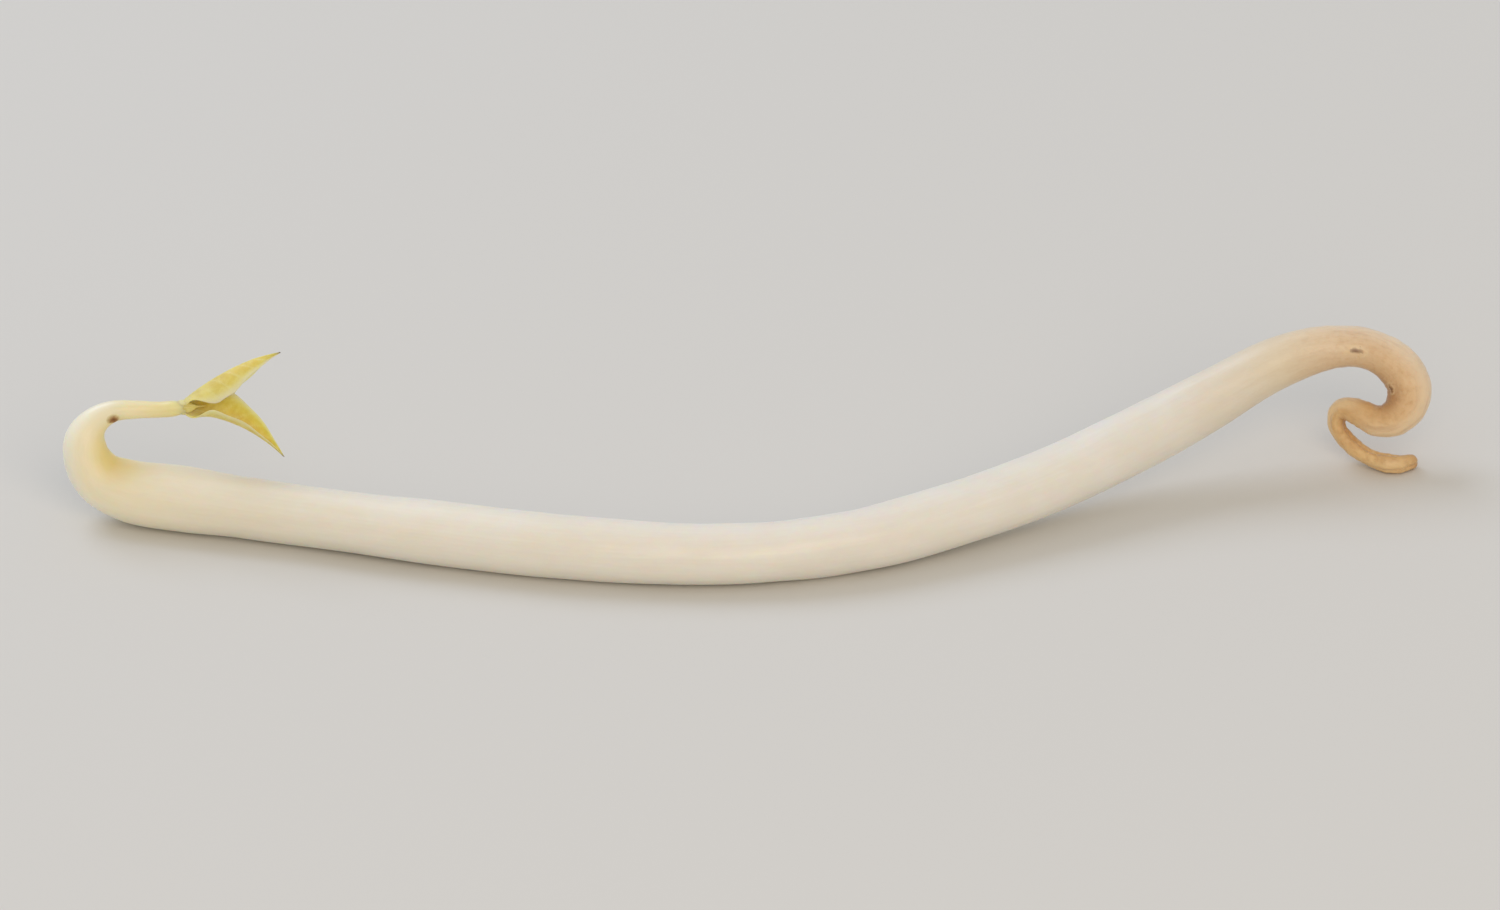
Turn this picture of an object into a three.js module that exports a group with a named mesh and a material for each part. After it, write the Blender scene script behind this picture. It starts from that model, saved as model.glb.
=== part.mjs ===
// One mung bean sprout, picked and lying on a table.
// A plump white stem (the hypocotyl) ends on one side in a tan root that curls
// back on itself, and on the other in a thin hooked neck with two small leaves.
// Millimetres, +Z up, +X from the hooked end to the root. The origin is on the
// table, under the middle of the sprout.

import * as THREE from 'three';

// Driving dimensions
const stemDiameter = 3.95;      // the stem along most of its length
const collarDiameter = 4.1;     // the swelling just above the root
const neckDiameter = 1.25;      // the hooked neck where it is thinnest
const rootDiameter = 2.7;       // the root where it starts to curl
const leafLength = 6.7;
const leafHalfWidth = 0.8;      // of the folded blade, from the midrib to one edge
const leafFoldDepth = 1.15;     // how far the edges stand up from the midrib
const leafThickness = 0.26;
const leafFootWidth = 0.72;     // where the leaf leaves the neck
const leafFootThickness = 0.3;
const leafFootOffset = 0.3;     // each leaf's foot from the middle of the neck
const budLength = 1.3;
const budDiameter = 0.26;
const scarLength = 1.0;         // the pads that the two seed leaves left behind
const scarWidth = 0.75;
const scarHeight = 0.24;
const scarTurn = 0.2;           // place of the front scar around the neck, in radians
const jointGap = 0.05;          // between the neck and what grows out of it

// Mesh fineness
const ringSpacing = 0.34;       // along the axis, as a share of its diameter
const stemSides = 18;
const domeRings = 4;
const leafRings = 16;
const leafSpans = 6;            // across one face of the blade
const smallSides = 12;          // around the bud and the scars

// Centre line of the whole plant axis, from the root tip to the foot of the
// leaves. Each station holds x, y, z and the diameter there.
const rootStations = [
  [41.05, 13.65, 0.46, rootDiameter * 0.335],
  [40.0, 13.1, 0.60, rootDiameter * 0.435],
  [38.4, 13.8, 0.74, rootDiameter * 0.39],
  [37.15, 14.6, 1.40, rootDiameter * 0.425],
  [36.45, 14.8, 2.45, rootDiameter * 0.41],
  [36.7, 14.9, 3.55, rootDiameter * 0.50],
  [37.8, 14.4, 3.62, rootDiameter * 0.61],
  [39.2, 13.8, 3.12, rootDiameter * 0.74],
  [40.6, 14.1, 3.70, rootDiameter * 0.92],
  [41.15, 14.7, 5.12, rootDiameter * 1.02],
  [40.1, 15.3, 6.62, rootDiameter * 0.97],
  [38.3, 15.7, 7.42, rootDiameter * 0.93],
  [35.9, 15.7, 7.45, rootDiameter],
];
const stemStations = [
  [32.6, 14.9, 6.72, collarDiameter * 0.805],
  [28.4, 13.0, 5.15, collarDiameter * 0.89],
  [23.6, 10.4, 3.72, collarDiameter * 0.965],
  [18.6, 7.3, 2.80, collarDiameter],
  [13.2, 4.25, 2.30, collarDiameter * 0.965],
  [6.6, 1.3, 1.95, stemDiameter * 0.98],
  [-1.4, -0.15, 1.86, stemDiameter * 0.94],
  [-10.5, 0.45, 1.94, stemDiameter * 0.98],
  [-19.5, 2.35, 1.98, stemDiameter],
  [-28.5, 4.7, 1.94, stemDiameter * 0.96],
  [-34.8, 6.35, 2.04, stemDiameter * 1.03],
  [-38.2, 7.05, 2.20, stemDiameter * 0.97],
  [-40.0, 7.45, 2.88, stemDiameter * 0.85],
  [-40.85, 7.75, 4.11, stemDiameter * 0.73],
  [-40.95, 7.95, 5.47, stemDiameter * 0.62],
  [-40.4, 8.1, 6.52, neckDiameter * 1.42],
];
const epicotylStations = [
  [-39.3, 8.2, 7.20, neckDiameter * 1.05],
  [-37.8, 8.2, 7.35, neckDiameter * 0.88],
  [-36.3, 8.1, 7.40, neckDiameter * 0.76],
  [-34.8, 8.0, 7.60, neckDiameter * 0.80],
];

// The leaf pair opens like a beak. Each leaf runs from the end of the neck along
// its heading, bends, and has its folded edges turned to the other leaf.
const leaves = [
  { name: 'leaf_upper', heading: [6.0, 0.9, 3.0], bend: [-0.2, 0.1, 0.75], inward: [0.35, -0.45, -0.8] },
  { name: 'leaf_lower', heading: [7.0, -1.5, -2.9], bend: [0.3, 0.2, 1.5], inward: [0.25, -0.3, 0.9] },
];

// Colours
const stemColour = 0xefe6d2;
const rootColour = 0xd8b587;
const neckColour = 0xe6dcae;
const leafColour = 0xcdb84a;
const budColour = 0xdccf7c;
const scarColour = 0x9a6a38;

// Rings along the plant axis. Each has a centre, a direction, two axes across it
// and a radius, and it knows how far along the stations it is.
function axisRings(stations) {
  const points = stations.map(([x, y, z]) => new THREE.Vector3(x, y, z));
  const path = new THREE.CatmullRomCurve3(points, false, 'centripetal');
  const lastStation = stations.length - 1;
  const places = stations.map((station, index) => index / lastStation);
  const diameters = stations.map((station) => station[3]);
  const diameterAt = new THREE.CubicInterpolant(places, diameters, 1);
  const rings = [];
  for (let index = 0; index < lastStation; index += 1) {
    const span = points[index].distanceTo(points[index + 1]);
    const steps = Math.max(2, Math.round(span / (ringSpacing * diameters[index])));
    const count = index === lastStation - 1 ? steps + 1 : steps;
    for (let step = 0; step < count; step += 1) {
      const station = index + step / steps;
      const place = station / lastStation;
      rings.push({
        station,
        centre: path.getPoint(place),
        along: path.getTangent(place),
        radius: diameterAt.evaluate(place)[0] / 2,
      });
    }
  }
  return carryFrames(rings);
}

// Turns each ring as little as possible from the one before, so nothing twists.
function carryFrames(rings) {
  const side = new THREE.Vector3(0, 0, 1).cross(rings[0].along).normalize();
  for (const ring of rings) {
    side.addScaledVector(ring.along, -side.dot(ring.along)).normalize();
    ring.side = side.clone();
    ring.up = ring.along.clone().cross(side);
  }
  return rings;
}

function between(rings, firstStation, lastStation) {
  return rings.filter((ring) => ring.station >= firstStation && ring.station <= lastStation);
}

// Extra rings that round off one end of a stretch. Direction is 1 at its end and -1 at its start.
function dome(ring, direction) {
  const rings = [];
  for (let index = 1; index < domeRings; index += 1) {
    const angle = (index / domeRings) * Math.PI / 2;
    const reach = direction * ring.radius * Math.sin(angle);
    const centre = ring.centre.clone().addScaledVector(ring.along, reach);
    rings.push({ ...ring, centre, radius: ring.radius * Math.cos(angle) });
  }
  return direction > 0 ? rings : rings.reverse();
}

// Joins rings of points into one closed surface, with a single point at each end.
function skin(loops, startPoint, endPoint) {
  const size = loops[0].length;
  const positions = loops.flat().concat(startPoint, endPoint);
  const startIndex = loops.length * size;
  const endIndex = startIndex + 1;
  const lastLoop = (loops.length - 1) * size;
  const triangles = [];
  for (let index = 0; index < size; index += 1) {
    const next = (index + 1) % size;
    triangles.push(startIndex, next, index);
    triangles.push(endIndex, lastLoop + index, lastLoop + next);
    for (let loop = 0; loop < loops.length - 1; loop += 1) {
      const here = loop * size;
      const there = here + size;
      triangles.push(here + index, here + next, there + next);
      triangles.push(here + index, there + next, there + index);
    }
  }
  const geometry = new THREE.BufferGeometry().setFromPoints(positions);
  geometry.setIndex(triangles);
  geometry.computeVertexNormals();
  return geometry;
}

function circleLoop(ring) {
  const loop = [];
  for (let index = 0; index < stemSides; index += 1) {
    const angle = (index / stemSides) * Math.PI * 2;
    loop.push(ring.centre.clone()
      .addScaledVector(ring.side, ring.radius * Math.cos(angle))
      .addScaledVector(ring.up, ring.radius * Math.sin(angle)));
  }
  return loop;
}

// A round stretch of the axis with flat ends, or with a domed start.
function stretch(rings, domedStart) {
  const first = rings[0];
  const startRings = domedStart ? dome(first, -1) : [];
  const startReach = domedStart ? -first.radius : 0;
  const startPoint = first.centre.clone().addScaledVector(first.along, startReach);
  const endPoint = rings[rings.length - 1].centre;
  return skin([...startRings, ...rings].map(circleLoop), startPoint, endPoint);
}

// How wide a leaf is along its length, as a share of its fullest place: a narrow
// foot, then a blade that is fullest in its lower half and tapers to a point.
function leafSpread(place) {
  const footShare = leafFootWidth / (2 * leafHalfWidth);
  const blade = Math.sin(Math.PI * Math.pow(place, 0.72));
  return blade * (1 - footShare * place) + footShare * (1 - place);
}

// The blade cut across at one place: its inner face, then its outer face back again.
// It leaves its foot flat and thick, and past the foot its edges rise and it thins.
function leafLoop(place, centre, side, up) {
  const spread = leafSpread(place);
  const opened = THREE.MathUtils.smoothstep(place, 0, 0.3);
  const halfWidth = leafHalfWidth * spread;
  const rise = leafFoldDepth * spread * opened;
  const thickness = THREE.MathUtils.lerp(leafFootThickness, leafThickness, opened);
  const halfThickness = thickness / 2 * Math.min(1, 2 * spread);
  const loop = [];
  for (let index = 0; index < leafSpans * 2; index += 1) {
    const onInnerFace = index < leafSpans;
    const share = index / leafSpans;
    const across = onInnerFace ? share * 2 - 1 : 3 - share * 2;
    const face = (onInnerFace ? 1 : -1) * halfThickness * Math.sqrt(1 - across * across);
    loop.push(centre.clone()
      .addScaledVector(side, halfWidth * across)
      .addScaledVector(up, rise * across * across + face));
  }
  return loop;
}

function leafGeometry(foot, leaf) {
  const tip = foot.clone().addScaledVector(new THREE.Vector3(...leaf.heading).normalize(), leafLength);
  const middle = foot.clone().lerp(tip, 0.5).add(new THREE.Vector3(...leaf.bend));
  const midrib = new THREE.QuadraticBezierCurve3(foot, middle, tip);
  const inward = new THREE.Vector3(...leaf.inward);
  const loops = [];
  for (let index = 0; index < leafRings; index += 1) {
    const place = index / leafRings;
    const along = midrib.getTangent(place);
    const up = inward.clone().addScaledVector(along, -inward.dot(along)).normalize();
    const side = along.clone().cross(up);
    loops.push(leafLoop(place, midrib.getPoint(place), side, up));
  }
  return skin(loops, foot, tip);
}

// The pointed bud that sits between the leaves, at the end of the neck.
function budGeometry(foot, along) {
  const profile = [];
  for (let index = 0; index <= smallSides; index += 1) {
    const place = index / smallSides;
    const radius = budDiameter / 2 * Math.sqrt(1 - place) * (0.8 + 0.8 * place * (1 - place));
    profile.push(new THREE.Vector2(radius, place * budLength));
  }
  const bud = new THREE.LatheGeometry([new THREE.Vector2(0, 0), ...profile], smallSides);
  bud.applyQuaternion(new THREE.Quaternion().setFromUnitVectors(new THREE.Vector3(0, 1, 0), along));
  bud.translate(foot.x, foot.y, foot.z);
  return bud;
}

// A low pad on the neck's skin. Turn is its place around the neck.
function scarGeometry(ring, turn) {
  const levels = [[1, 0], [1, 0.45], [0.8, 0.85], [0.4, 1]];
  const floor = ring.radius + jointGap;
  const onNeck = (forward, around, height) => {
    const angle = turn + around / ring.radius;
    return ring.centre.clone()
      .addScaledVector(ring.along, forward)
      .addScaledVector(ring.side, (floor + height) * Math.cos(angle))
      .addScaledVector(ring.up, (floor + height) * Math.sin(angle));
  };
  const loops = levels.map(([spread, height]) => {
    const loop = [];
    for (let index = 0; index < smallSides; index += 1) {
      const angle = (index / smallSides) * Math.PI * 2;
      const forward = spread * scarLength / 2 * Math.sin(angle);
      const around = spread * scarWidth / 2 * Math.cos(angle);
      loop.push(onNeck(forward, around, height * scarHeight));
    }
    return loop;
  });
  return skin(loops, onNeck(0, 0, 0), onNeck(0, 0, scarHeight));
}

const sprout = new THREE.Group();

function addPiece(name, geometry, colour, roughness) {
  const material = new THREE.MeshStandardMaterial({ color: colour, roughness, metalness: 0 });
  const piece = new THREE.Mesh(geometry, material);
  piece.name = name;
  sprout.add(piece);
}

// The root, the stem and the neck are stretches of one axis and share their end rings.
const rings = axisRings([...rootStations, ...stemStations, ...epicotylStations]);
const collarStation = rootStations.length;
const nodeStation = collarStation + stemStations.length;
const endStation = nodeStation + epicotylStations.length - 1;
addPiece('taproot', stretch(between(rings, 0, collarStation), true), rootColour, 0.6);
addPiece('hypocotyl', stretch(between(rings, collarStation, nodeStation), false), stemColour, 0.4);
addPiece('epicotyl', stretch(between(rings, nodeStation, endStation), false), neckColour, 0.45);

const nodeRing = rings.find((ring) => ring.station === nodeStation);
addPiece('cotyledon_scar_front', scarGeometry(nodeRing, scarTurn), scarColour, 0.8);
addPiece('cotyledon_scar_back', scarGeometry(nodeRing, scarTurn + Math.PI), scarColour, 0.8);

const endRing = rings[rings.length - 1];
const budFoot = endRing.centre.clone().addScaledVector(endRing.along, jointGap);
addPiece('terminal_bud', budGeometry(budFoot, endRing.along), budColour, 0.5);
for (const leaf of leaves) {
  const outward = new THREE.Vector3(...leaf.inward).negate();
  outward.addScaledVector(endRing.along, -outward.dot(endRing.along)).normalize();
  const foot = budFoot.clone().addScaledVector(outward, leafFootOffset);
  addPiece(leaf.name, leafGeometry(foot, leaf), leafColour, 0.5);
}

// Stand the sprout on the table, with its middle over the origin.
const box = new THREE.Box3().setFromObject(sprout);
const middle = box.getCenter(new THREE.Vector3());
sprout.position.set(-middle.x, -middle.y, -box.min.z);

export default sprout;
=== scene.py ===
# One mung bean sprout lying on a table: a plump white stem, a tan root that curls
# back on itself, and a thin hooked neck that carries a pair of small yellow leaves.
# Lengths are given in millimetres and turned to metres where meshes are made.
import math

import bmesh
import bpy
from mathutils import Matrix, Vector, noise
from mathutils.bvhtree import BVHTree


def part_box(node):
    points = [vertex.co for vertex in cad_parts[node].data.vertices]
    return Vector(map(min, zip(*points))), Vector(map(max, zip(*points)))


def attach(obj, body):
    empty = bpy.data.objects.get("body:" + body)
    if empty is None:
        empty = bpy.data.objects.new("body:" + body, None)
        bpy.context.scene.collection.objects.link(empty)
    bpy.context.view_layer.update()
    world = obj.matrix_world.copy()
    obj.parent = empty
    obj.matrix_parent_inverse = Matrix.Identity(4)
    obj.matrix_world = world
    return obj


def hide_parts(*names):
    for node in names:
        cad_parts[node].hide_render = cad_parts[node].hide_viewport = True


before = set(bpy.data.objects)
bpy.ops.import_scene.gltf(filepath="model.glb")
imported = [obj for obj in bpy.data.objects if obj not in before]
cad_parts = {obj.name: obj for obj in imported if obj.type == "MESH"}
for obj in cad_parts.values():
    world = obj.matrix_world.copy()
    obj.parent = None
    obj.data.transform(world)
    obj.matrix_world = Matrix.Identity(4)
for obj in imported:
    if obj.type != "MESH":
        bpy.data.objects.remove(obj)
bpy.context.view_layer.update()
mm = 0.001


# Hex sRGB colour to the linear values the shaders work in
def linear(hexColour):
    channels = [((hexColour >> shift) & 255) / 255 for shift in (16, 8, 0)]
    return [c / 12.92 if c <= 0.04045 else ((c + 0.055) / 1.055) ** 2.4 for c in channels] + [1]


# Adds a node. An input takes a plain value, a socket, or a node whose own output is meant.
# Stops fill a ramp with hex colours or grey levels. Everything else is a setting of the node.
def addNode(tree, kind, inputs=None, stops=None, **settings):
    node = tree.nodes.new(kind)
    for name, value in settings.items():
        setattr(node, name, value)
    for key, value in (inputs or {}).items():
        if isinstance(value, bpy.types.Node):
            value = next(output for output in value.outputs if output.enabled)
        if isinstance(value, bpy.types.NodeSocket):
            tree.links.new(value, node.inputs[key])
        else:
            node.inputs[key].default_value = value
    if stops:
        marks = node.color_ramp.elements
        while len(marks) < len(stops):
            marks.new(0.5)
        for mark, (place, colour) in zip(marks, stops):
            mark.position = place
            mark.color = linear(colour) if isinstance(colour, int) else (colour, colour, colour, 1)
    return node


def newMaterial(name):
    material = bpy.data.materials.new(name)
    material.use_nodes = True
    material.node_tree.nodes.clear()
    return material, material.node_tree


# Cloudy mask from 0 to 1, its size given in millimetres along each of the coordinates
def cloudyMask(tree, where, size, low=0.35, high=0.65, seed=0.0):
    place = addNode(tree, "ShaderNodeMapping", {
        "Vector": where, "Location": (seed, seed, seed), "Scale": [1 / (length * mm) for length in size]})
    cloud = addNode(tree, "ShaderNodeTexNoise", {
        "Vector": place, "Scale": 1.0, "Detail": 3.0, "Roughness": 0.55})
    return addNode(tree, "ShaderNodeMapRange", {"Value": cloud, "From Min": low, "From Max": high})


# Lays colours over a ground, each through its own mask and as strongly as given
def painted(tree, ground, layers):
    for colour, mask, strength in layers:
        cover = addNode(tree, "ShaderNodeMath", {0: mask, 1: strength}, operation="MULTIPLY")
        ground = addNode(tree, "ShaderNodeMix", {0: cover, 6: ground, 7: colour}, data_type="RGBA")
    return ground


def smoothStep(value, low, high):
    share = min(1, max(0, (value - low) / (high - low)))
    return share * share * (3 - 2 * share)


def unit(vector):
    return Vector(vector).normalized()


# What is left of a direction across another one
def across(vector, along):
    return (Vector(vector) - along * along.dot(Vector(vector))).normalized()


# Stores numbers on the points of a mesh
def addValues(mesh, **values):
    for name, numbers in values.items():
        mesh.attributes.new(name, "FLOAT", "POINT").data.foreach_set("value", numbers)


def newObject(name, data):
    thing = bpy.data.objects.new(name, data)
    bpy.context.collection.objects.link(thing)
    return thing


def newPiece(name, mesh, material, slot, *nodes):
    piece = newObject(name, mesh)
    mesh.name = name
    mesh.materials.append(material)
    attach(piece, "root")
    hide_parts(*nodes)


stage = {
    "elevation": 30,  # degrees above the table
    "distance": 2000,  # far off, so that perspective is slight
    "lens": 777,  # takes in about 93 mm there
    "aim": (0, 0, 4.5),
    "floorColour": 0xd9d6cf,
    "floorSize": 3000,
    "skyStrength": 0.57,
    "lamps": [  # place, size, watts, colour
        ((-320, 300, 490), 420, 1.65, 0xd9e6ff),
        ((120, -460, 330), 460, 1.05, 0xffedd6),
    ],
}


def setStage():
    scene = bpy.context.scene
    scene.view_settings.view_transform = "Standard"
    aim = Vector(stage["aim"]) * mm
    lift = math.radians(stage["elevation"])
    camera = bpy.data.cameras.new("camera")
    camera.lens = stage["lens"]
    camera.clip_start = 0.01
    cameraObject = newObject("camera", camera)
    cameraObject.location = aim + Vector((0, -math.cos(lift), math.sin(lift))) * stage["distance"] * mm
    cameraObject.rotation_euler = (math.pi / 2 - lift, 0, 0)
    scene.camera = cameraObject
    for index, (place, size, watts, colour) in enumerate(stage["lamps"]):
        lamp = bpy.data.lights.new(f"softbox{index}", "AREA")
        lamp.shape = "DISK"
        lamp.size = size * mm
        lamp.energy = watts
        lamp.color = linear(colour)[:3]
        lampObject = newObject(lamp.name, lamp)
        lampObject.location = Vector(place) * mm
        lampObject.rotation_euler = (aim - lampObject.location).to_track_quat("-Z", "Y").to_euler()
    scene.world = bpy.data.worlds.new("studioSky")
    scene.world.use_nodes = True
    sky = scene.world.node_tree.nodes["Background"]
    sky.inputs["Color"].default_value = linear(0xffffff)
    sky.inputs["Strength"].default_value = stage["skyStrength"]
    bpy.ops.mesh.primitive_plane_add(size=stage["floorSize"] * mm)
    floor = bpy.context.object
    floor.name = "floor"
    paper, tree = newMaterial("paperFloor")  # smooth matt card, so it shows only the soft shadow
    card = addNode(tree, "ShaderNodeBsdfPrincipled", {
        "Base Color": linear(stage["floorColour"]), "Roughness": 0.9, "Specular IOR Level": 0.2})
    addNode(tree, "ShaderNodeOutputMaterial", {"Surface": card})
    floor.data.materials.append(paper)


setStage()
print("stage set")


# Root, stem and neck grow as one axis and share one skin
axis = {
    "stemDiameter": 3.95,
    "collarDiameter": 4.1,
    "neckDiameter": 1.25,
    "rootDiameter": 2.7,
    "ringSpacing": 0.06,  # share of the diameter
    "domeRings": 12,  # that close each end
    "easing": 60,  # rounds of easing the root's tight bends
    "easingFade": 4,  # stations before the collar over which that fades
    "bendReach": 8,  # rings on each side over which a bend is felt
    "bendRounds": 3,  # of evening that out
    "crown": 0.6,  # stations over which the neck narrows under the leaves
    "crownTaper": 0.25,  # share of its thickness lost there
    "crownHeight": 0.8,  # of its round end, as a share of the radius
    "rootFade": (-3.5, 0.5),  # stations from the collar between which the wrinkles fade
    "tailFade": (4.5, 7.5),  # stations between which the tail's creases fade
    "wander": 18.0,  # how far oval and creases turn on their way
    "creasePower": 3.0,  # higher is finer
    "slimRadius": 0.4,  # below this the relief fades
    "seedStep": 3.7,  # so that no two line up
    "raggedScale": 3200.0,  # grains per metre in the outlines of the lenticels
    "raggedness": (2.2, -0.1),  # swing and offset of those grains
    "numbers": {  # inputs of the node tree, unitless
        "Sides": 72,
        "Seed": 7.0,
        "Ovalness": 0.022,  # how far a cross-section is from round
        "Furrows": 3.0,  # creases along the shrunken tail
        "Lenticel stretch": 2.8,  # length over width
    },
    "lengths": {  # inputs of the node tree in millimetres
        "Oval length": 16,
        "Groove depth": 0.08,  # soft furrows along the stem
        "Groove width": 1.1,
        "Groove length": 18,
        "Dent depth": 0.12,
        "Dent width": 3.2,
        "Dent length": 6.4,
        "Wrinkle depth": 0.22,  # where the root's skin has shrunk
        "Wrinkle width": 1.6,
        "Wrinkle length": 0.6,
        "Furrow depth": 0.10,
        "Lenticel height": 0.07,
    },
}
stemD, collarD = axis["stemDiameter"], axis["collarDiameter"]
neckD, rootD = axis["neckDiameter"], axis["rootDiameter"]

# x, y, z and diameter, from the root tip to the foot of the leaves
rootStations = [
    (41.05, 13.65, 0.46, rootD * 0.335), (40.0, 13.1, 0.60, rootD * 0.435), (38.4, 13.8, 0.74, rootD * 0.39),
    (37.15, 14.6, 1.40, rootD * 0.425), (36.45, 14.8, 2.45, rootD * 0.41), (36.7, 14.9, 3.55, rootD * 0.50),
    (37.8, 14.4, 3.62, rootD * 0.61), (39.2, 13.8, 3.12, rootD * 0.74), (40.6, 14.1, 3.70, rootD * 0.92),
    (41.15, 14.7, 5.12, rootD * 1.02), (40.1, 15.3, 6.62, rootD * 0.97), (38.3, 15.7, 7.42, rootD * 0.93),
    (35.9, 15.7, 7.45, rootD),
]
stemStations = [
    (32.6, 14.9, 6.72, collarD * 0.805), (28.4, 13.0, 5.15, collarD * 0.89),
    (23.6, 10.4, 3.72, collarD * 0.965), (18.6, 7.3, 2.80, collarD), (13.2, 4.25, 2.30, collarD * 0.965),
    (6.6, 1.3, 1.95, stemD * 0.98), (-1.4, -0.15, 1.86, stemD * 0.94), (-10.5, 0.45, 1.94, stemD * 0.98),
    (-19.5, 2.35, 1.98, stemD), (-28.5, 4.7, 1.94, stemD * 0.96), (-34.8, 6.35, 2.04, stemD * 1.03),
    (-38.2, 7.05, 2.20, stemD * 0.97), (-40.0, 7.45, 2.88, stemD * 0.85), (-40.85, 7.75, 4.11, stemD * 0.73),
    (-40.95, 7.95, 5.47, stemD * 0.62), (-40.4, 8.1, 6.52, neckD * 1.42),
]
neckStations = [
    (-39.3, 8.2, 7.20, neckD * 1.05), (-37.8, 8.2, 7.35, neckD * 0.88), (-36.3, 8.1, 7.40, neckD * 0.76),
    (-34.8, 8.0, 7.60, neckD * 0.80),
]
collarStation = len(rootStations)
nodeStation = collarStation + len(stemStations)
endStation = nodeStation + len(neckStations) - 1


# Four neighbours of a list around one place, with the ends carried on straight
def neighbours(values, index):
    longer = [values[0] * 2 - values[1], *values, values[-1] * 2 - values[-2]]
    return longer[index:index + 4]


# Centripetal curve through the stations
def pathPoint(points, index, share):
    before, start, stop, after = neighbours(points, index)
    d0, d1, d2 = (math.sqrt((b - a).length) for a, b in ((before, start), (start, stop), (stop, after)))
    leave = ((start - before) / d0 - (stop - before) / (d0 + d1)) * d1 + (stop - start)
    arrive = ((after - stop) / d2 - (after - start) / (d1 + d2)) * d1 + (stop - start)
    s, s2, s3 = share, share ** 2, share ** 3
    place = start * (2 * s3 - 3 * s2 + 1) + leave * (s3 - 2 * s2 + s)
    return place + stop * (3 * s2 - 2 * s3) + arrive * (s3 - s2)


# Smooth change from one station's diameter to the next
def pathDiameter(diameters, index, share):
    before, start, stop, after = neighbours(diameters, index)
    curve = 2 * before - 5 * start + 4 * stop - after
    turn = 3 * (start - stop) + after - before
    return start + share * (stop - before + share * (curve + share * turn)) / 2


# Rings along the axis, each a centre, a direction, a radius and its station
def axisRings():
    stations = rootStations + stemStations + neckStations
    points = [Vector(station[:3]) for station in stations]
    diameters = [station[3] for station in stations]
    rings = []
    for index in range(endStation):
        span = (points[index + 1] - points[index]).length
        steps = max(2, round(span / (axis["ringSpacing"] * diameters[index])))
        for step in range(steps + (index == endStation - 1)):
            share = step / steps
            rings.append({
                "station": index + share,
                "centre": pathPoint(points, index, share),
                "radius": pathDiameter(diameters, index, share) / 2,
            })
    for _ in range(axis["easing"]):
        easeCurl(rings)
    for before, ring, after in zip(rings[:1] + rings, rings, rings[1:] + rings[-1:]):
        ring["along"] = unit(after["centre"] - before["centre"])
    bendSides(rings)
    return rings


# For each ring an arrow to the inside of the bend, as long as the bend is tight for its thickness:
# a bend's curvature is eight times its sag over its chord squared
def bendSides(rings):
    reach = axis["bendReach"]
    arrows = []
    for index, ring in enumerate(rings):
        before = rings[max(0, index - reach)]["centre"]
        after = rings[min(len(rings) - 1, index + reach)]["centre"]
        sag = (before + after) / 2 - ring["centre"]
        sag -= ring["along"] * ring["along"].dot(sag)
        arrows.append(sag * 8 * ring["radius"] / (after - before).length_squared)
    for _ in range(axis["bendRounds"]):
        nearby = [arrows[max(0, index - reach):index + reach + 1] for index in range(len(arrows))]
        arrows = [sum(near, Vector()) / len(near) for near in nearby]
    for ring, arrow in zip(rings, arrows):
        ring["bend"] = arrow


# Draws the tight bends of the root towards their neighbours, so the skin inside them isn't pinched
def easeCurl(rings):
    centres = [ring["centre"] for ring in rings]
    for index, ring in enumerate(rings[1:-1], 1):
        ease = 1 - smoothStep(ring["station"], collarStation - axis["easingFade"], collarStation)
        middle = (centres[index - 1] + centres[index + 1]) / 2
        ring["centre"] = centres[index].lerp(middle, ease / 2)


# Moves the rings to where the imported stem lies, so that both stand on one spot
def settle(rings):
    stem = [ring for ring in rings if collarStation <= ring["station"] <= nodeStation]
    middle = []
    for side in range(3):
        reach = [ring["radius"] * math.sqrt(max(0, 1 - ring["along"][side] ** 2)) for ring in stem]
        low = min(ring["centre"][side] - r for ring, r in zip(stem, reach))
        high = max(ring["centre"][side] + r for ring, r in zip(stem, reach))
        middle.append((low + high) / 2)
    low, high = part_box("hypocotyl")
    shift = (Vector(low) + Vector(high)) / 2 / mm - Vector(middle)
    for ring in rings:
        ring["centre"] += shift
    return shift


rings = axisRings()
shift = settle(rings)
print("axis:", len(rings), "rings, moved by", [round(v, 4) for v in shift])


def ringAt(station):
    return min(rings, key=lambda ring: abs(ring["station"] - station))


# Small round ends: rings that close over the first and the last ring
def domeRings(ring, direction, height):
    made = []
    count = axis["domeRings"]
    for index in range(1, count + 1):
        angle = index / count * math.pi / 2
        reach = ring["along"] * direction * height * math.sin(angle)
        made.append({**ring, "centre": ring["centre"] + reach, "radius": ring["radius"] * math.cos(angle)})
    return made if direction > 0 else made[::-1]


# Line through the ring centres that the node tree sweeps
def axisLine():
    tip, crownStart = rings[0], endStation - axis["crown"]
    crown = [dict(ring) for ring in rings if ring["station"] > crownStart]
    for ring in crown:
        ring["radius"] *= 1 - axis["crownTaper"] * smoothStep(ring["station"], crownStart, endStation)
    body = rings[:-len(crown)] + crown
    line = domeRings(tip, -1, tip["radius"]) + body
    line += domeRings(body[-1], 1, body[-1]["radius"] * axis["crownHeight"])
    rootFade = [collarStation + place for place in axis["rootFade"]]
    mesh = bpy.data.meshes.new("axisLine")
    mesh.from_pydata([ring["centre"] * mm for ring in line], [(i, i + 1) for i in range(len(line) - 1)], [])
    addValues(
        mesh,
        thickness=[max(0, ring["radius"]) * mm for ring in line],
        station=[ring["station"] for ring in line],
        rootness=[1 - smoothStep(ring["station"], *rootFade) for ring in line],
        tailness=[1 - smoothStep(ring["station"], *axis["tailFade"]) for ring in line])
    bends = [side for ring in line for side in ring["bend"]]
    mesh.attributes.new("bend", "FLOAT_VECTOR", "POINT").data.foreach_set("vector", bends)
    return newObject("axisLine", mesh)


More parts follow.
